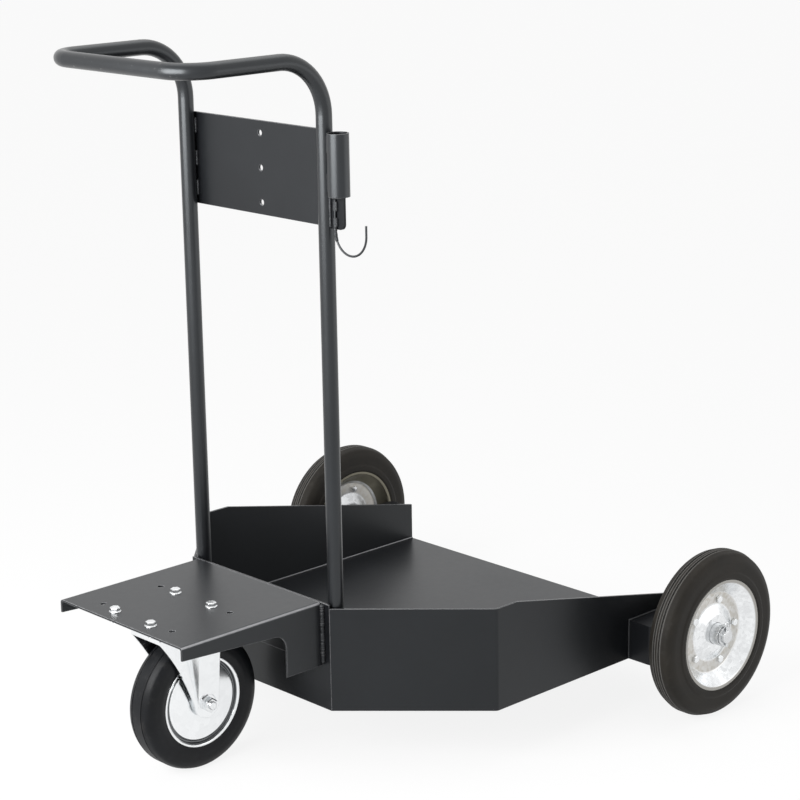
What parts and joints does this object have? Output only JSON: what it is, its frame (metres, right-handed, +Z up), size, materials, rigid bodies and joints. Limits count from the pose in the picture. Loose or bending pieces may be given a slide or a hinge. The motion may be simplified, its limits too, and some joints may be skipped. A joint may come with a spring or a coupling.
{
  "type": "drum trolley",
  "caption": "Low tray trolley for an upright drum, with a bent tube pull handle, a mounting panel, a tool holder with hook, fixed rear wheels and a swivel caster.",
  "frame": {"origin": "on the ground, under the middle of the trolley's box", "axes": "+X towards the tray's open loading end, +Y to the left wheel, +Z up"},
  "size_m": [0.901, 0.8628, 1.0045],
  "materials": {
    "frame_paint": "satin black powder coat",
    "dark_wire": "thin black coat on wire",
    "axle_steel": "turned steel",
    "wheel_zinc": "bright zinc plate",
    "fastener_zinc": "bright zinc plate",
    "caster_zinc": "bright zinc plate",
    "bearing_steel": "ground steel",
    "tyre_rubber": "matt black rubber"
  },
  "bodies": {
    "frame": {"tray_floor": "frame_paint", "tray_front_wall": "frame_paint", "left_side_wall": "frame_paint", "right_side_wall": "frame_paint", "left_axle_bracket": "frame_paint", "right_axle_bracket": "frame_paint", "handle_tube": "frame_paint", "mounting_panel": "frame_paint", "holder_tube": "frame_paint", "holder_gusset": "frame_paint", "caster_deck": "frame_paint", "wire_hook": "dark_wire", "left_stub_axle": "axle_steel", "right_stub_axle": "axle_steel", "left_axle_washer": "axle_steel", "right_axle_washer": "axle_steel", "left_split_pin": "axle_steel", "right_split_pin": "axle_steel", "mount_bolts": "fastener_zinc", "mount_nuts": "fastener_zinc", "mount_washers": "fastener_zinc", "kingpin": "fastener_zinc", "kingpin_nut": "fastener_zinc", "kingpin_washer": "fastener_zinc", "caster_top_plate": "caster_zinc", "swivel_race": "caster_zinc"},
    "left_wheel": {"left_tyre": "tyre_rubber", "left_outer_rim": "wheel_zinc", "left_inner_rim": "wheel_zinc", "left_rim_bolts": "fastener_zinc", "left_rim_nuts": "fastener_zinc", "left_hub_sleeve": "bearing_steel", "left_wheel_bearings": "bearing_steel"},
    "right_wheel": {"right_tyre": "tyre_rubber", "right_outer_rim": "wheel_zinc", "right_inner_rim": "wheel_zinc", "right_rim_bolts": "fastener_zinc", "right_rim_nuts": "fastener_zinc", "right_hub_sleeve": "bearing_steel", "right_wheel_bearings": "bearing_steel"},
    "caster_swivel": {"caster_fork": "caster_zinc", "swivel_balls": "bearing_steel", "caster_axle_bolt": "fastener_zinc", "caster_axle_nut": "fastener_zinc", "caster_axle_sleeve": "bearing_steel"},
    "caster_wheel": {"caster_tyre": "tyre_rubber", "left_caster_disc": "wheel_zinc", "right_caster_disc": "wheel_zinc", "caster_rim_band": "wheel_zinc", "caster_hub_tube": "wheel_zinc", "caster_rollers": "bearing_steel", "caster_cage_rings": "bearing_steel"}
  },
  "joints": [
    {"name": "left_wheel_spin", "type": "hinge", "parent": "frame", "child": "left_wheel", "pos_m": [0.32555, 0.3979, 0.125], "axis": [0, 1, 0], "continuous": true},
    {"name": "right_wheel_spin", "type": "hinge", "parent": "frame", "child": "right_wheel", "pos_m": [0.32555, -0.3979, 0.125], "axis": [0, 1, 0], "continuous": true},
    {"name": "caster_swivel_turn", "type": "hinge", "parent": "frame", "child": "caster_swivel", "pos_m": [-0.37505, 0, 0.22], "axis": [0, 0, 1], "continuous": true},
    {"name": "caster_wheel_spin", "type": "hinge", "parent": "caster_swivel", "child": "caster_wheel", "pos_m": [-0.32965, 0, 0.1], "axis": [0, 1, 0], "continuous": true}
  ]
}
